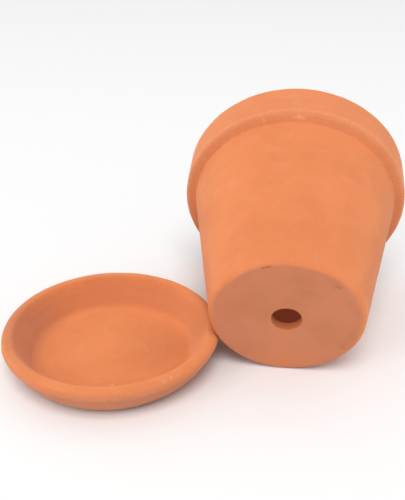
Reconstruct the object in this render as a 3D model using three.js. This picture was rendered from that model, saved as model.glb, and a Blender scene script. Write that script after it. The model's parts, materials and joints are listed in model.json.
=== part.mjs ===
// Terracotta flower pot lying on its side beside its saucer.
// Millimetres, +Z up, ground at Z = 0, origin under the centre of the saucer.
import * as THREE from "three";

// Pot, measured in its own frame: axis up, underside at height 0
const POT_HEIGHT = 135.3;
const RIM_RADIUS = 75;
const COLLAR_HEIGHT = 29.6;
const COLLAR_FOOT_RADIUS = 74.6;
const COLLAR_FOOT_ROUND = 3.8;
const LEDGE_RISE = 1.4; // the ledge under the collar slopes up outwards
const LIP_OUTER_ROUND = 1.8;
const LIP_INNER_ROUND = 3;
const LIP_WIDTH = 8;
const SHOULDER_RADIUS = 67.5; // body where it meets the collar's ledge
const SHOULDER_COVE = 1;
const BASE_RADIUS = 45.9;
const BASE_ROUND = 3;
const WALL = 7.2; // measured level
const INNER_STEP_WIDTH = 2.6; // inside, where the wall widens into the collar
const INNER_STEP_HEIGHT = 7;
const INNER_STEP_ROUND = 5;
const FLOOR_THICKNESS = 6.2;
const FLOOR_COVE = 8;
const HOLE_RADIUS = 9.1;
const HOLE_EDGE_ROUND = 0.6;

// Where the pot lies
const GROUND_POINT = new THREE.Vector2(108.8, -10.6); // under its base edge
const POT_HEADING = 7.4; // degrees from +Y towards +X, base to mouth

// Saucer
const SAUCER_RADIUS = 67.8;
const SAUCER_HEIGHT = 24.4;
const BEAD_FACE_HEIGHT = 7.6; // rim bead, from its lower edge to the top
const BEAD_STEP = 1.5; // how far the wall stands back under the bead
const BEAD_STEP_RISE = 1.3; // the bead's underside slopes up outwards
const BEAD_STEP_ROUND = 1.6;
const BEAD_OUTER_ROUND = 4;
const BEAD_INNER_ROUND = 2.9;
const BEAD_THICKNESS = 7;
const SAUCER_FOOT_RADIUS = 53.4;
const SAUCER_FOOT_ROUND = 1.2;
const SAUCER_WALL_BULGE = 1.6; // outer wall bows out this far from straight
const SAUCER_FLOOR_THICKNESS = 6;
const SAUCER_FLOOR_RADIUS = 50;
const SAUCER_FLOOR_COVE = 9;

const SIDES = 72;
const ARC_STEP = 30; // degrees of turn per facet of a rounded corner
const DEGREE = Math.PI / 180;

const TERRACOTTA = new THREE.Color(0xec9560);
const CLAY_ROUGHNESS = 0.92;

// An outline corner: radius from the axis, height, and how much it is rounded
function corner(radius, height, round = 0) {
  return { at: new THREE.Vector2(radius, height), round };
}

// Points of the arc that rounds one corner between its two neighbours
function roundCorner(before, here, after) {
  if (here.round === 0) {
    return [here.at];
  }
  const back = before.at.clone().sub(here.at).normalize();
  const ahead = after.at.clone().sub(here.at).normalize();
  const half = Math.acos(back.dot(ahead)) / 2;
  const centre = back.clone().add(ahead).normalize();
  centre.multiplyScalar(here.round / Math.sin(half)).add(here.at);
  const reach = here.round / Math.tan(half);
  const first = back.multiplyScalar(reach).add(here.at).sub(centre);
  const last = ahead.multiplyScalar(reach).add(here.at).sub(centre);
  const turn = Math.atan2(first.cross(last), first.dot(last));
  const steps = Math.max(1, Math.round(Math.abs(turn) / DEGREE / ARC_STEP));
  const points = [];
  for (let i = 0; i <= steps; i += 1) {
    const origin = new THREE.Vector2();
    points.push(first.clone().rotateAround(origin, (turn * i) / steps).add(centre));
  }
  return points;
}

// Whole outline from its corners; a closed one rounds its first corner too
function outline(corners, closed) {
  const count = corners.length;
  const points = corners.flatMap((here, i) => {
    const before = corners[(i + count - 1) % count];
    const after = corners[(i + 1) % count];
    return roundCorner(before, here, after);
  });
  if (closed) {
    points.push(points[0].clone());
  }
  return points;
}

function potOutline() {
  const ledge = POT_HEIGHT - COLLAR_HEIGHT;
  const mouth = RIM_RADIUS - LIP_WIDTH;
  const slope = (SHOULDER_RADIUS - BASE_RADIUS) / ledge;
  const innerBase = BASE_RADIUS - WALL + slope * FLOOR_THICKNESS;
  const stepFoot = ledge - INNER_STEP_HEIGHT;
  const stepRadius = BASE_RADIUS - WALL + slope * stepFoot;
  const corners = [
    corner(HOLE_RADIUS, 0, HOLE_EDGE_ROUND),
    corner(BASE_RADIUS, 0, BASE_ROUND),
    corner(SHOULDER_RADIUS, ledge, SHOULDER_COVE),
    corner(COLLAR_FOOT_RADIUS, ledge + LEDGE_RISE, COLLAR_FOOT_ROUND),
    corner(RIM_RADIUS, POT_HEIGHT, LIP_OUTER_ROUND),
    corner(mouth, POT_HEIGHT, LIP_INNER_ROUND),
    corner(stepRadius + INNER_STEP_WIDTH + slope * INNER_STEP_HEIGHT, ledge, INNER_STEP_ROUND),
    corner(stepRadius, stepFoot, INNER_STEP_ROUND),
    corner(innerBase, FLOOR_THICKNESS, FLOOR_COVE),
    corner(HOLE_RADIUS, FLOOR_THICKNESS, HOLE_EDGE_ROUND),
  ];
  return outline(corners, true);
}

function saucerOutline() {
  const beadFoot = SAUCER_HEIGHT - BEAD_FACE_HEIGHT;
  const wallTop = SAUCER_RADIUS - BEAD_STEP;
  const wallMiddle = (SAUCER_FOOT_RADIUS + wallTop) / 2 + SAUCER_WALL_BULGE;
  const corners = [
    corner(0, 0),
    corner(SAUCER_FOOT_RADIUS, 0, SAUCER_FOOT_ROUND),
    corner(wallMiddle, beadFoot / 2),
    corner(wallTop, beadFoot),
    corner(SAUCER_RADIUS, beadFoot + BEAD_STEP_RISE, BEAD_STEP_ROUND),
    corner(SAUCER_RADIUS, SAUCER_HEIGHT, BEAD_OUTER_ROUND),
    corner(SAUCER_RADIUS - BEAD_THICKNESS, SAUCER_HEIGHT, BEAD_INNER_ROUND),
    corner(SAUCER_FLOOR_RADIUS, SAUCER_FLOOR_THICKNESS, SAUCER_FLOOR_COVE),
    corner(0, SAUCER_FLOOR_THICKNESS),
  ];
  return outline(corners, false);
}

// Solid of revolution about +Z
function turned(points) {
  const geometry = new THREE.LatheGeometry(points, SIDES);
  return geometry.rotateX(90 * DEGREE);
}

function clay() {
  return new THREE.MeshStandardMaterial({
    color: TERRACOTTA,
    roughness: CLAY_ROUGHNESS,
    metalness: 0,
  });
}

function namedMesh(name, geometry) {
  const mesh = new THREE.Mesh(geometry, clay());
  mesh.name = name;
  return mesh;
}

// The line that a turned shape lies on when it is laid down: the longest
// side of its outline that has every other point of the outline behind it
function restingLine(points) {
  const lines = points.flatMap((low) => points.map((high) => ({ low, high })));
  const outermost = lines.filter(({ low, high }) => {
    const along = high.clone().sub(low);
    const behind = (point) => along.cross(point.clone().sub(low)) >= -Number.EPSILON;
    return along.y > 0 && points.every(behind);
  });
  outermost.sort((a, b) => b.high.distanceTo(b.low) - a.high.distanceTo(a.low));
  return outermost[0];
}

// Lays the pot down with its base edge over GROUND_POINT
function layDown(mesh, points) {
  const { low, high } = restingLine(points);
  const tilt = Math.atan2(high.x - low.x, high.y - low.y);
  const heading = POT_HEADING * DEGREE;
  const level = new THREE.Vector3(Math.sin(heading), Math.cos(heading), 0);
  const up = new THREE.Vector3(0, 0, 1);
  const axis = level.clone().multiplyScalar(Math.cos(tilt));
  axis.addScaledVector(up, Math.sin(tilt));
  const under = level.clone().multiplyScalar(Math.sin(tilt));
  under.addScaledVector(up, -Math.cos(tilt));
  const across = axis.clone().cross(under);
  const turn = new THREE.Matrix4().makeBasis(across, under.clone().negate(), axis);
  mesh.quaternion.setFromRotationMatrix(turn);
  mesh.position.set(GROUND_POINT.x, GROUND_POINT.y, 0);
  mesh.position.addScaledVector(axis, -low.y).addScaledVector(under, -low.x);
}

const potPoints = potOutline();
const pot = namedMesh("pot", turned(potPoints));
layDown(pot, potPoints);

const saucer = namedMesh("saucer", turned(saucerOutline()));

const pair = new THREE.Group();
pair.add(pot, saucer);

export default pair;
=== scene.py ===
import json
import math

import bpy
import numpy as np
from mathutils import Matrix, Vector


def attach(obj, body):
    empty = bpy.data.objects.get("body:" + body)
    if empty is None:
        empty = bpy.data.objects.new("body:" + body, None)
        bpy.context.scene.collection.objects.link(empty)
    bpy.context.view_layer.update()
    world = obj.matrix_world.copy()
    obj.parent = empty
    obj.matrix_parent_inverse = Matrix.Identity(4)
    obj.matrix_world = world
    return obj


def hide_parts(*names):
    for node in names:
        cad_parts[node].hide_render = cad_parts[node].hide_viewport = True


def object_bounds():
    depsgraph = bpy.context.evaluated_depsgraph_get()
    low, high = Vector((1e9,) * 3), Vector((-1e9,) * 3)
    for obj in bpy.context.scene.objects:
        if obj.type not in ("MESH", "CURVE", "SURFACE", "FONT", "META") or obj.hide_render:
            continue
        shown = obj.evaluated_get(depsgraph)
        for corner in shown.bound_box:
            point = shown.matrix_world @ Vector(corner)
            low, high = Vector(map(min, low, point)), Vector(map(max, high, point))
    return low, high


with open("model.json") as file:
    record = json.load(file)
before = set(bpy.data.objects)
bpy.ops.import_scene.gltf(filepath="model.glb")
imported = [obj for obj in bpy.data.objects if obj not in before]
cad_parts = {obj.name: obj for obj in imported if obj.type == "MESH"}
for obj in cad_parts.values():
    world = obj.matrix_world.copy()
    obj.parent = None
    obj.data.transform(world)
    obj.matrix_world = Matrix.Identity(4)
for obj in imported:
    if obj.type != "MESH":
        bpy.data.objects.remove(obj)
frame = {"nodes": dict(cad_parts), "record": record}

SIZE_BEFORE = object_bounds()
MM = 0.001

# ---------------------------------------------------------------- outlines
# Turned shapes, as (radius, height) in millimetres in each piece's own frame:
# axis up, underside at height 0.

POT_HEIGHT = 135.3
RIM_RADIUS = 75.0
COLLAR_FOOT = 74.6  # radius of the collar at its lower edge
SHOULDER = 67.5  # radius of the body under the collar
BASE_RADIUS = 45.9
LEDGE = 105.7  # height of the ledge under the collar
INNER_STEP = 98.7  # height at which the wall starts to widen into the collar
FLOOR = 6.2
HOLE_RADIUS = 9.1
WALL = 7.2
WALL_SLOPE = (SHOULDER - BASE_RADIUS) / LEDGE

SAUCER_HEIGHT = 24.4
SAUCER_RADIUS = 67.8
SAUCER_FLOOR = 6.0
SAUCER_FLOOR_RADIUS = 50.0


def rounded(corners, closed, arc_step=9.0):
    """Outline through (radius, height, rounding) corners, rounded by arcs."""
    count = len(corners)
    points = []
    for i, (x, z, rounding) in enumerate(corners):
        here = np.array([x, z])
        if rounding == 0:
            points.append(here)
            continue
        before = np.array(corners[i - 1][:2]) - here
        after = np.array(corners[(i + 1) % count][:2]) - here
        before /= np.linalg.norm(before)
        after /= np.linalg.norm(after)
        half = math.acos(np.clip(before @ after, -1, 1)) / 2
        middle = (before + after) / np.linalg.norm(before + after)
        centre = here + middle * rounding / math.sin(half)
        first = here + before * rounding / math.tan(half) - centre
        last = here + after * rounding / math.tan(half) - centre
        turn = math.atan2(first[0] * last[1] - first[1] * last[0], first @ last)
        steps = max(2, round(abs(math.degrees(turn)) / arc_step))
        for k in range(steps + 1):
            a = turn * k / steps
            c, s = math.cos(a), math.sin(a)
            points.append(centre + np.array([c * first[0] - s * first[1], s * first[0] + c * first[1]]))
    if closed:
        points.append(points[0])
    return np.array(points)


def refined(points, longest):
    """The same outline with no stretch longer than `longest`."""
    out = [points[0]]
    for a, b in zip(points[:-1], points[1:]):
        span = np.linalg.norm(b - a)
        if span < 1e-6:
            continue
        n = max(1, math.ceil(span / longest))
        out.extend(a + (b - a) * k / n for k in range(1, n + 1))
    return np.array(out)


def pot_inside(height):
    """Radius of the pot's hollow below the collar."""
    return BASE_RADIUS - WALL + WALL_SLOPE * height


def pot_outline():
    corners = [
        (HOLE_RADIUS, 0.3, 0.6),
        (13.0, 0.3, 8.0),
        (39.0, 0.0, 12.0),
        (43.0, 0.1, 1.5),
        (BASE_RADIUS + 0.05, 0.2, 2.9),
        (SHOULDER, LEDGE, 1.0),
        (COLLAR_FOOT, LEDGE + 1.4, 3.8),
        (RIM_RADIUS, POT_HEIGHT, 1.9),
        (RIM_RADIUS - 8.0, POT_HEIGHT, 3.0),
        (pot_inside(LEDGE) + 2.6, LEDGE, 6.0),
        (pot_inside(INNER_STEP), INNER_STEP, 6.0),
        (pot_inside(FLOOR), FLOOR, 8.0),
        (HOLE_RADIUS, FLOOR, 0.7),
    ]
    return refined(rounded(corners, True), 1.4)


def saucer_outline():
    corners = [
        (0.0, 0.25, 0.0),
        (40.0, 0.0, 60.0),
        (51.6, 0.0, 3.0),
        (53.6, 0.9, 1.4),
        (61.5, 8.4, 20.0),
        (66.3, 16.9, 0.5),
        (67.15, 17.8, 1.2),
        (SAUCER_RADIUS + 0.05, 19.4, 2.0),
        (SAUCER_RADIUS, SAUCER_HEIGHT, 4.0),
        (SAUCER_RADIUS - 6.6, SAUCER_HEIGHT, 2.6),
        (SAUCER_FLOOR_RADIUS, SAUCER_FLOOR, 4.5),
        (0.0, SAUCER_FLOOR, 0.0),
    ]
    return refined(rounded(corners, False), 1.05)


# ------------------------------------------------------------------ relief


def lumps(points, size, seed, waves=48):
    """Smooth seeded noise of about -1 to 1 with features `size` mm across."""
    rng = np.random.default_rng(seed)
    heading = rng.normal(size=(waves, 3))
    heading /= np.linalg.norm(heading, axis=1, keepdims=True)
    number = 2 * math.pi / (size * rng.uniform(1.2, 3.0, waves))
    phase = rng.uniform(0, 2 * math.pi, waves)
    total = np.zeros(len(points))
    for h, k, p in zip(heading, number, phase):
        total += np.cos(points @ (h * k) + p)
    return total / math.sqrt(waves)


def bands(height, size, seed, waves=14):
    """Seeded ripples along one direction, about -1 to 1, `size` mm apart."""
    rng = np.random.default_rng(seed)
    total = np.zeros(len(height))
    for k, p in zip(rng.uniform(0.6, 1.6, waves), rng.uniform(0, 2 * math.pi, waves)):
        total += np.cos(height * 2 * math.pi * k / size + p)
    return total / math.sqrt(waves)


def spot(points, centre, size):
    """1 at `centre`, falling smoothly to 0 at `size` mm away."""
    away = np.linalg.norm(points - np.array(centre), axis=1) / size
    return np.clip(1 - away**2, 0, 1) ** 2


def ring_point(radius, height, angle):
    a = math.radians(angle)
    return (radius * math.cos(a), radius * math.sin(a), height)


# Marks on the clay: radius, height and angle of the centre, size across,
# how far it stands out (+) or in (-) in mm, and tone, darker (-) or paler (+).
POT_MARKS = [
    (43.6, 0.3, 70, 1.5, -0.30, -0.8),
    (43.8, 0.3, 72, 1.2, -0.25, -0.7),
    (43.7, 0.3, 74, 1.5, -0.35, -0.9),
    (43.9, 0.3, 76, 1.2, -0.20, -0.7),
    (39.3, 0.1, 39, 1.2, -0.25, -0.6),
    (39.8, 0.1, 42, 1.1, -0.20, -0.5),
    (40.0, 0.1, 131, 1.3, -0.30, -0.8),
    (40.3, 0.1, 133, 1.2, -0.25, -0.8),
    (40.8, 0.1, 135, 1.3, -0.20, -0.6),
    (41.5, 0.1, 139, 1.2, -0.15, -0.4),
    (39.0, 0.1, 153, 2.6, -0.12, -0.30),
    (41.2, 0.1, 168, 2.4, -0.12, -0.30),
    (38.8, 0.1, 210, 2.2, -0.20, -0.45),
    (41.5, 0.1, 212, 2.4, -0.20, -0.50),
    (40.4, 0.1, 207, 2.0, -0.12, -0.35),
    (42.0, 0.1, 354, 1.8, -0.12, -0.30),
    (30.4, 0.1, 318, 1.6, -0.10, -0.25),
    (22.0, 0.1, 20, 2.0, 0.12, 0.25),
    (48.4, 12.8, 74, 1.3, 0.22, 0.50),
    (48.2, 11.6, 79, 1.1, 0.20, 0.40),
    (46.7, 4.6, 54, 1.3, 0.20, 0.50),
    (51.2, 26.4, 94, 1.5, -0.16, -0.15),
    (51.0, 25.2, 97, 1.4, 0.16, 0.30),
    (53.6, 37.3, 110, 1.6, 0.15, 0.20),
    (71.4, 106.6, 90, 2.0, -0.25, 0.9),
    (70.6, 106.4, 92, 1.6, -0.20, 0.8),
    (71.2, 106.5, 88, 1.3, -0.15, 0.5),
    (71.0, 106.5, 72, 1.6, -0.15, 0.5),
    (70.9, 106.4, 69, 1.2, -0.15, 0.4),
    (74.7, 111.5, 150, 1.4, -0.20, 0.7),
    (74.7, 113.6, 152, 1.1, -0.15, 0.5),
    (68.2, 105.9, 141, 1.2, 0.25, 0.4),
    (68.4, 105.9, 144, 1.0, 0.25, 0.3),
    (68.3, 105.9, 137, 1.0, 0.20, -0.3),
    (68.3, 105.9, 118, 1.1, 0.20, -0.3),
    (74.8, 118.0, 30, 1.6, -0.20, -0.3),
    (61.0, 72.0, 262, 2.4, -0.20, -0.4),
    (66.0, 97.0, 310, 2.2, 0.20, 0.3),
    (74.8, 126.0, 235, 2.2, -0.25, -0.4),
    (71.5, 135.3, 330, 1.8, -0.30, -0.5),
    (73.8, 134.8, 200, 2.2, -0.40, 0.5),
]
SAUCER_MARKS = [
    (67.6, 18.9, 256, 1.2, -0.30, -0.8),
    (67.6, 18.8, 258, 0.9, -0.20, -0.5),
    (67.6, 18.9, 275, 1.1, -0.30, -0.9),
    (67.7, 20.2, 276, 0.9, -0.20, -0.5),
    (67.5, 21.3, 280, 1.0, -0.22, -0.6),
    (67.8, 20.4, 282, 1.1, -0.25, -0.6),
    (67.8, 19.9, 284, 1.2, -0.25, -0.7),
    (67.8, 19.5, 286, 1.1, -0.25, -0.6),
    (67.7, 19.4, 246, 1.0, -0.22, -0.5),
    (67.6, 18.9, 250, 1.1, -0.25, -0.6),
    (67.6, 19.2, 312, 2.0, -0.15, -0.3),
    (63.8, 24.4, 198, 3.6, -0.30, -0.1),
    (64.6, 24.2, 205, 3.4, -0.35, -0.1),
    (65.6, 23.8, 211, 3.2, -0.30, 0.1),
    (66.6, 23.2, 218, 3.0, -0.25, 0.1),
    (66.3, 23.4, 303, 1.4, -0.20, 0.5),
    (65.7, 23.6, 307, 1.6, -0.20, 0.6),
    (66.4, 23.3, 311, 1.3, -0.18, 0.5),
    (36.9, 6.0, 276, 2.0, 0.16, 0.6),
    (22.3, 6.0, 354, 1.8, 0.15, 0.5),
    (36.4, 6.0, 328, 1.6, 0.12, 0.3),
    (58.5, 18.1, 108, 1.8, -0.20, 0.5),
    (56.5, 15.2, 86, 1.5, -0.15, 0.4),
    (30.0, 6.0, 60, 2.0, -0.15, -0.3),
    (12.0, 6.0, 190, 1.8, -0.12, -0.3),
    (65.0, 24.0, 30, 2.0, -0.30, -0.4),
    (61.0, 8.0, 150, 2.2, -0.25, -0.4),
    (65.5, 14.0, 40, 2.2, 0.22, 0.4),
]


def marked(points, marks):
    """Height and tone that the marks add at each point."""
    height = np.zeros(len(points))
    tone = np.zeros(len(points))
    for radius, level, angle, size, depth, shade in marks:
        part = spot(points, ring_point(radius, level, angle), size)
        height += part * depth
        tone += part * shade
    return height, tone


def pot_relief(points, along):
    radius = np.hypot(points[:, 0], points[:, 1])
    angle = np.arctan2(points[:, 1], points[:, 0])
    height = points[:, 2]
    under = np.clip(1 - height / 2.0, 0, 1) * np.clip((43 - radius) / 3, 0, 1)
    side = np.clip(height / 6.0, 0, 1)
    stand = 0.16 * np.cos(2 * angle + 0.6) + 0.08 * np.cos(3 * angle + 2.1)
    rise = side * stand * height / POT_HEIGHT
    rise += 0.09 * lumps(points, 16, 3) + 0.035 * lumps(points, 5, 4) + 0.018 * lumps(points, 2.4, 5)
    rise += side * 0.045 * bands(along, 9, 6) + side * 0.02 * bands(along, 3.4, 7)
    ring = np.exp(-(((radius - 28.5) / 2.2) ** 2))
    rise += under * (0.13 * ring + 0.014 * bands(radius, 4.2, 8))
    return rise


def pot_dust_and_painted_light(points):
    """Dust and painted shade (+), painted shade (-) on the pot's clay, and its tone, with painted
    highlights.

    The underside holds a disc of dust that widens into painted shade on the side nearest the floor; the hole
    and the right flank hold painted shade.
    """
    radius = np.hypot(points[:, 0], points[:, 1])
    angle = np.arctan2(points[:, 1], points[:, 0])
    height = points[:, 2]
    # Dust disc on the underside, widened by painted shade on the side nearest the floor.
    lower = np.clip(-points[:, 1] / 45, 0, 1)
    disc = np.clip((45.2 + 0.5 * lumps(points, 14, 31) + 1.6 * lower - radius) / 2.4, 0, 1)
    disc *= np.clip((1.2 + 1.8 * lower - height) / 0.9, 0, 1)
    disc *= 1 - 0.35 * spot(points, ring_point(36.0, 0.0, 268), 24)
    # Painted shade inside the hole.
    hole = np.clip((9.6 - radius) / 0.5, 0, 1) * np.clip((6.6 - height) / 0.6, 0, 1)
    outer = np.clip((radius - pot_inside(height) - WALL / 2) / 1.5, 0, 1)
    # Dust on the collar, also standing in for a painted sheen where the collar is seen at a grazing angle;
    # the collar is a little paler in tone as well.
    collar = np.clip((height - LEDGE) / 3, 0, 1) * outer
    # Painted shade on the right flank, the side turned from the light.
    flank = np.clip((np.cos(angle - math.radians(178)) - 0.85) / 0.15, 0, 1)
    flank *= outer * np.clip((height - 4) / 6, 0, 1) * np.clip((LEDGE - height) / 2, 0, 1)
    dust_and_painted_shade = np.where(hole > 0, -hole, disc + 0.15 * collar - 0.45 * flank)
    # Painted highlights: the tone is paler along the ledge and along the collar's lower edge.
    ledge_highlight = np.exp(-(((height - 106.2) / 1.6) ** 2)) * outer
    edge_highlight = np.exp(-(((height - 109.2) / 1.4) ** 2)) * outer
    return dust_and_painted_shade, 0.22 * ledge_highlight + 0.22 * edge_highlight + 0.16 * collar


def saucer_painted_light(points):
    """Painted shade on the saucer's clay, browner (+) and darker (-), and its tone, with a painted highlight
    on the top of the bead.

    Painted shade lies outside, deepest under the bead, and on the inner wall, most on the left.
    """
    radius = np.hypot(points[:, 0], points[:, 1])
    height = points[:, 2]
    outside = np.clip((radius - 51 - 0.62 * height) / 1.5, 0, 1)
    below_bead = np.clip((18.4 - height) / 1.2, 0, 1)
    # Painted shade on the outer face below the bead's top, deepest under the bead.
    wall = outside * (0.66 + 0.29 * below_bead) * np.clip((23.2 - height) / 1.6, 0, 1)
    # Painted shade on the inner wall.
    inner = (1 - outside) * np.clip((radius - 50) / 2, 0, 1) * np.clip((21.5 - height) / 2, 0, 1)
    # More painted shade on the left, where the inner wall faces away from the light.
    left = spot(points, ring_point(56.0, 13.0, 182), 56) * np.clip((radius - 42) / 9, 0, 1)
    # Painted shadow of the pot on the right of the floor, made darker.
    right = spot(points, ring_point(32.0, 6.0, 4), 40) * np.clip((51 - radius) / 2, 0, 1)
    dust_and_painted_shade = np.clip(wall + 0.30 * inner + 0.95 * left * (1 - outside), 0, 1) - 0.36 * right
    # The tone is paler on the top of the bead: a painted highlight.
    return dust_and_painted_shade, 0.16 * np.clip((height - 22.6) / 1.4, 0, 1)


def saucer_relief(points, along):
    angle = np.arctan2(points[:, 1], points[:, 0])
    radius = np.hypot(points[:, 0], points[:, 1])
    out = np.clip((radius - 30) / 35, 0, 1)
    rise = out * (0.14 * np.cos(2 * angle + 1.9) + 0.07 * np.cos(3 * angle + 0.4))
    rise += 0.08 * lumps(points, 14, 13) + 0.035 * lumps(points, 5, 14) + 0.018 * lumps(points, 2.4, 15)
    rise += 0.035 * bands(along, 7, 16) + 0.018 * bands(along, 3.0, 17)
    return rise


# ------------------------------------------------------------------ meshes


def spread(ring, angle):
    """(radius, height) pairs turned to every angle, as rows of x, y, z."""
    x = np.cos(angle)[:, None] * ring[:, 0]
    y = np.sin(angle)[:, None] * ring[:, 0]
    z = np.broadcast_to(ring[:, 1], x.shape)
    return np.stack([x, y, z], axis=-1).reshape(-1, 3)


def side_faces(rows, columns, closed):
    """Four-sided faces between the points of neighbouring columns and rows."""
    row = np.arange(rows if closed else rows - 1)
    after = (row + 1) % rows
    here = np.arange(columns)[:, None] * rows
    beside = np.roll(here, -1, axis=0)
    corners = (here + row, beside + row, beside + after, here + after)
    return np.stack([corner.ravel() for corner in corners], axis=1).tolist()


def turned(name, outline, columns, relief, marks, dust_and_painted_light, placement):
    """Mesh of an outline turned about its axis, with relief and marks worked in, and dust, painted shade and
    painted highlights stored on it.
    """
    closed = np.allclose(outline[0], outline[-1])
    ring = outline[:-1] if closed else outline[1:-1]
    step = np.linalg.norm(np.diff(outline, axis=0), axis=1)
    along = np.concatenate([[0], np.cumsum(step)])
    along = along[:-1] if closed else along[1:-1]
    if closed:
        ahead, behind = np.roll(ring, -1, axis=0), np.roll(ring, 1, axis=0)
    else:
        ahead, behind = outline[2:], outline[:-2]
    tangent = ahead - behind
    tangent /= np.linalg.norm(tangent, axis=1, keepdims=True)
    outward = np.stack([tangent[:, 1], -tangent[:, 0]], axis=1)

    angle = np.arange(columns) * 2 * math.pi / columns
    points = spread(ring, angle)
    normals = spread(outward, angle)
    height, tone = marked(points, marks)
    # Dust and painted shade, and painted highlights that join the marks' tone.
    dust_and_painted_shade, painted_highlight = dust_and_painted_light(points)
    tone = tone + painted_highlight
    points = points + normals * (relief(points, np.tile(along, columns)) + height)[:, None]

    rows = len(ring)
    faces = side_faces(rows, columns, closed)
    if not closed:
        low, high = len(points), len(points) + 1
        points = np.vstack([points, [0, 0, outline[0, 1]], [0, 0, outline[-1, 1]]])
        tone = np.append(tone, [0, 0])
        dust_and_painted_shade = np.append(dust_and_painted_shade, [0, 0])
        for i in range(columns):
            here, beside = i * rows, (i + 1) % columns * rows
            faces.append([here, beside, low])
            faces.append([high, here + rows - 1, beside + rows - 1])
    mesh = bpy.data.meshes.new(name)
    mesh.from_pydata((points * MM).tolist(), [], faces)
    mesh.transform(placement)
    mesh.shade_smooth()
    mesh.attributes.new("tone", "FLOAT", "POINT").data.foreach_set("value", tone)
    mesh.attributes.new("dust_and_painted_shade", "FLOAT", "POINT").data.foreach_set("value", dust_and_painted_shade)
    own = mesh.attributes.new("own_place", "FLOAT_VECTOR", "POINT")
    own.data.foreach_set("vector", (points * MM).ravel())
    mesh.update()
    piece = bpy.data.objects.new(name, mesh)
    bpy.context.scene.collection.objects.link(piece)
    return piece


# --------------------------------------------------------------- materials


class Nodes:
    """Short ways to make and join the shader nodes of one material."""

    def __init__(self, name):
        self.material = bpy.data.materials.new(name)
        self.material.use_nodes = True
        self.tree = self.material.node_tree
        self.shader = self.tree.nodes["Principled BSDF"]

    def add(self, kind, inputs=(), **settings):
        node = self.tree.nodes.new(kind)
        for key, value in settings.items():
            setattr(node, key, value)
        for key, value in dict(inputs).items():
            if isinstance(value, bpy.types.NodeSocket):
                self.tree.links.new(value, node.inputs[key])
            else:
                node.inputs[key].default_value = value
        return node

    def math(self, operation, a, b=0.0, clamp=False):
        node = self.add("ShaderNodeMath", {0: a, 1: b}, operation=operation, use_clamp=clamp)
        return node.outputs[0]

    def noise(self, where, size, detail=3.0, roughness=0.55):
        """Noise of about 0 to 1 with features `size` mm across."""
        inputs = {"Vector": where, "Scale": 1 / (size * MM), "Detail": detail, "Roughness": roughness}
        return self.add("ShaderNodeTexNoise", inputs).outputs["Fac"]

    def ramp(self, value, low, high):
        """0 below `low` to 1 above `high`."""
        inputs = {"Value": value, "From Min": low, "From Max": high}
        return self.add("ShaderNodeMapRange", inputs, interpolation_type="SMOOTHSTEP").outputs[0]

    def mix(self, amount, a, b, blend="MIX"):
        node = self.add("ShaderNodeMix", data_type="RGBA", blend_type=blend)
        for key, value in ((0, amount), (6, a), (7, b)):
            if isinstance(value, bpy.types.NodeSocket):
                self.tree.links.new(value, node.inputs[key])
            else:
                node.inputs[key].default_value = value
        return node.outputs[2]

    def specks(self, where, spacing, radius, share, seed):
        """1 inside small round specks: one cell in `share` holds one."""
        shift = self.add("ShaderNodeVectorMath", {0: where, 1: (seed, seed * 0.7, -seed)}, operation="ADD")
        inputs = {"Vector": shift.outputs[0], "Scale": 1 / (spacing * MM), "Randomness": 1.0}
        cells = self.add("ShaderNodeTexVoronoi", inputs, feature="F1")
        red = self.add("ShaderNodeSeparateColor", {0: cells.outputs["Color"]}).outputs[0]
        chosen = self.ramp(red, 1 - share, 1 - share + 0.05)
        near = radius / spacing
        inside = self.ramp(cells.outputs["Distance"], near, near * 0.45)
        return self.math("MULTIPLY", chosen, inside)


# Browns for dust and for painted shade, and a darker tint multiplied in as painted shade.
DUST_AND_SHADE_BROWN = (0.515, 0.178, 0.083, 1)
DUST_AND_SHADE_BROWN_PALE = (0.560, 0.203, 0.100, 1)
PAINTED_SHADE_TINT = (0.66, 0.60, 0.56, 1)
PALE = (0.80, 0.42, 0.25, 1)


def darkened(color, share):
    return tuple(share * v for v in color) + (1,)


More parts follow.
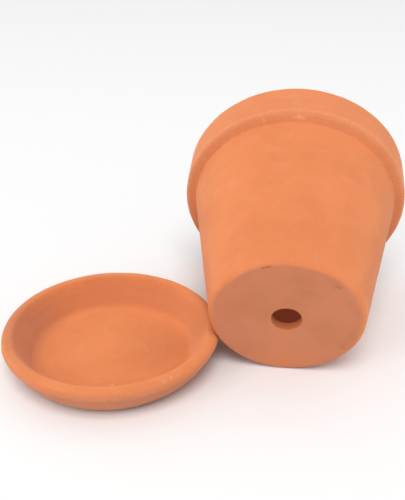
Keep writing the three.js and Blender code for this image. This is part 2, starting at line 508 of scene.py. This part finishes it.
def clay(name, base, deep, seed):
    """Matt clay from its main and its deeper colour."""
    n = Nodes(name)
    here = n.add("ShaderNodeAttribute", attribute_name="own_place").outputs["Vector"]
    x, y, z = n.add("ShaderNodeSeparateXYZ", {0: here}).outputs
    radius = n.math("SQRT", n.math("ADD", n.math("MULTIPLY", x, x), n.math("MULTIPLY", y, y)))
    turned_way = n.add("ShaderNodeCombineXYZ", {0: radius, 1: z, 2: seed * 0.01}).outputs[0]
    wander = n.add("ShaderNodeVectorMath", {0: here, 1: (0.06, 0.06, 0.06)}, operation="MULTIPLY").outputs[0]
    turned_way = n.add("ShaderNodeVectorMath", {0: turned_way, 1: wander}, operation="ADD").outputs[0]

    clouds = n.noise(here, 30, 2.0)
    patches = n.noise(here, 8, 3.0)
    grain = n.noise(here, 0.7, 2.0, 0.7)
    rings = n.noise(turned_way, 3.2, 3.0, 0.6)
    fine_rings = n.noise(turned_way, 0.9, 2.0, 0.6)
    ragged = n.noise(here, 0.9, 2.0, 0.6)
    pores = n.specks(here, 3.0, 0.30, 0.35, 0.31 + seed)
    grog = n.specks(here, 4.4, 0.34, 0.25, 0.77 + seed)
    tone = n.add("ShaderNodeAttribute", attribute_name="tone").outputs["Fac"]
    dust_and_painted_shade = n.add("ShaderNodeAttribute", attribute_name="dust_and_painted_shade").outputs["Fac"]

    color = n.mix(n.ramp(clouds, 0.30, 0.70), (*base, 1), (*deep, 1))
    color = n.mix(n.math("MULTIPLY", n.ramp(patches, 0.45, 0.80), 0.10), color, PALE)
    shade = n.math("ADD", n.math("MULTIPLY", rings, 0.05), n.math("MULTIPLY", grain, 0.06))
    shade = n.math("ADD", shade, n.math("MULTIPLY", fine_rings, 0.04))
    shade = n.math("ADD", shade, 0.925)
    grey = n.add("ShaderNodeCombineColor", {0: shade, 1: shade, 2: shade}).outputs[0]
    color = n.mix(1.0, color, grey, "MULTIPLY")
    # Dust and painted shade: positive values mix in the browner colour, negative values multiply in a darker
    # tint as painted shade.
    dust_and_painted_light = n.math("MULTIPLY", dust_and_painted_shade, n.math("ADD", n.math("MULTIPLY", patches, 0.5), 0.7), clamp=True)
    painted_shade_amount = n.math("MULTIPLY", dust_and_painted_shade, -1.0, clamp=True)
    dust_and_shade_brown = n.mix(n.ramp(clouds, 0.35, 0.65), DUST_AND_SHADE_BROWN, DUST_AND_SHADE_BROWN_PALE)
    color = n.mix(dust_and_painted_light, color, dust_and_shade_brown)
    color = n.mix(painted_shade_amount, color, PAINTED_SHADE_TINT, "MULTIPLY")
    color = n.mix(n.math("MULTIPLY", pores, 0.40), color, darkened(deep, 0.45))
    color = n.mix(n.math("MULTIPLY", grog, 0.25), color, PALE)
    uneven = n.math("MULTIPLY", n.math("SUBTRACT", ragged, 0.5), 0.9)
    darker = n.ramp(n.math("ADD", n.math("MULTIPLY", tone, -1.0), uneven), 0.12, 0.70)
    paler = n.ramp(n.math("ADD", tone, uneven), 0.12, 0.70)
    marked = n.ramp(n.math("ABSOLUTE", tone), 0.0, 0.12)
    dark_marks = n.math("MULTIPLY", darker, marked)
    pale_marks_and_highlights = n.math("MULTIPLY", paler, marked)
    color = n.mix(n.math("MULTIPLY", dark_marks, 0.5), color, darkened(deep, 0.40))
    # Pale marks, together with the painted highlights carried in the tone.
    color = n.mix(n.math("MULTIPLY", pale_marks_and_highlights, 0.5), color, PALE)
    n.tree.links.new(color, n.shader.inputs["Base Color"])

    rough = n.math("ADD", n.math("MULTIPLY", patches, 0.14), 0.80)
    n.tree.links.new(rough, n.shader.inputs["Roughness"])
    n.shader.inputs["Diffuse Roughness"].default_value = 0.7
    n.shader.inputs["Specular IOR Level"].default_value = 0.3
    n.shader.inputs["Sheen Weight"].default_value = 0.08
    n.shader.inputs["Sheen Roughness"].default_value = 0.45
    n.shader.inputs["Sheen Tint"].default_value = (1.0, 0.80, 0.68, 1)

    relief = n.math("ADD", n.math("MULTIPLY", grain, 0.40), n.math("MULTIPLY", fine_rings, 0.40))
    relief = n.math("ADD", relief, n.math("MULTIPLY", rings, 0.5))
    relief = n.math("SUBTRACT", relief, n.math("MULTIPLY", pores, 0.9))
    relief = n.math("SUBTRACT", relief, n.math("MULTIPLY", dark_marks, 0.8))
    bump = n.add("ShaderNodeBump", {"Height": relief, "Strength": 0.5, "Distance": 0.10 * MM})
    n.tree.links.new(bump.outputs[0], n.shader.inputs["Normal"])
    return n.material


POT_CLAY = clay("pot_clay", (0.690, 0.230, 0.086), (0.648, 0.208, 0.075), 0.0)
SAUCER_CLAY = clay("saucer_clay", (0.700, 0.238, 0.088), (0.660, 0.216, 0.077), 1.7)


# --------------------------------------------------------------- placement

mounts = {m["name"]: m for m in frame["record"]["mounts"]}


def pot_placement():
    """The pot's own frame at rest: axis from its base's face, centre from its node."""
    node = frame["nodes"]["pot"]
    where = {tuple(round(c, 6) for c in node.matrix_world @ v.co) for v in node.data.vertices}
    middle = Vector(np.mean(sorted(where), axis=0))
    axis = -Vector(mounts["pot_base"]["axis"]).normalized()
    base = middle - axis * (middle - Vector(mounts["pot_base"]["pos_m"])).dot(axis)
    across = Vector((axis.y, -axis.x, 0)).normalized() * -1
    forward = axis.cross(across)
    turn = Matrix((across, forward, axis)).transposed().to_4x4()
    return Matrix.Translation(base) @ turn


pot = turned("clay_pot", pot_outline(), 300, pot_relief, POT_MARKS, pot_dust_and_painted_light, pot_placement())
pot.data.materials.append(POT_CLAY)
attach(pot, "pot")
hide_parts("pot")

saucer_place = Matrix.Translation(mounts["saucer_foot"]["pos_m"])
saucer = turned("clay_saucer", saucer_outline(), 360, saucer_relief, SAUCER_MARKS, saucer_painted_light, saucer_place)
saucer.data.materials.append(SAUCER_CLAY)
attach(saucer, "saucer")
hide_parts("saucer")


# ------------------------------------------------------- floor, light, camera


FLOOR_REACH = 6.0
FLOOR_DROP = 0.2 * MM  # keeps the floor just clear of the clay
CAMERA_DOWN = math.radians(28.34)
CAMERA_DISTANCE = 0.60842
CAMERA_AIM = Vector((0.0576, 0.1440, 0))  # from the centre of the saucer's foot
CAMERA_LENS = 53.81


def floor():
    mesh = bpy.data.meshes.new("floor")
    reach = FLOOR_REACH
    corners = [(-reach, -reach, 0), (reach, -reach, 0), (reach, reach, 0), (-reach, reach, 0)]
    mesh.from_pydata(corners, [], [(0, 1, 2, 3)])
    plane = bpy.data.objects.new("floor", mesh)
    plane.location.z = -FLOOR_DROP
    bpy.context.scene.collection.objects.link(plane)
    n = Nodes("floor_card")
    n.shader.inputs["Base Color"].default_value = (0.84, 0.84, 0.84, 1)
    n.shader.inputs["Roughness"].default_value = 0.95
    n.shader.inputs["Specular IOR Level"].default_value = 0.1
    mesh.materials.append(n.material)


def soft_light(name, place, target, size, power):
    lamp = bpy.data.lights.new(name, "AREA")
    lamp.shape = "DISK"
    lamp.size = size
    lamp.energy = power
    light = bpy.data.objects.new(name, lamp)
    light.location = place
    light.rotation_mode = "QUATERNION"
    light.rotation_quaternion = (Vector(target) - Vector(place)).to_track_quat("-Z", "Y")
    bpy.context.scene.collection.objects.link(light)


def studio():
    world = bpy.data.worlds.new("studio")
    world.use_nodes = True
    world.node_tree.nodes["Background"].inputs["Color"].default_value = (1, 1, 1, 1)
    world.node_tree.nodes["Background"].inputs["Strength"].default_value = 0.68
    bpy.context.scene.world = world
    bpy.context.scene.view_settings.view_transform = "Standard"
    middle = (SIZE_BEFORE[0] + SIZE_BEFORE[1]) / 2
    soft_light("key", (0.1, -3.2, 5.5), middle, 3.4, 219.0)
    soft_light("fill", (-3.2, -3.0, 2.6), middle, 2.4, 48.0)


def camera():
    """Looks down at the pair from the front, at the photograph's angle."""
    aim = Vector(mounts["saucer_foot"]["pos_m"]) + CAMERA_AIM
    back = Vector((0, -math.cos(CAMERA_DOWN), math.sin(CAMERA_DOWN)))
    data = bpy.data.cameras.new("camera")
    data.sensor_width = 36
    data.lens = CAMERA_LENS
    data.clip_start = 0.01
    view = bpy.data.objects.new("camera", data)
    view.location = aim + CAMERA_DISTANCE * back
    view.rotation_euler = (math.pi / 2 - CAMERA_DOWN, 0, 0)
    bpy.context.scene.collection.objects.link(view)
    bpy.context.scene.camera = view


floor()
studio()
camera()
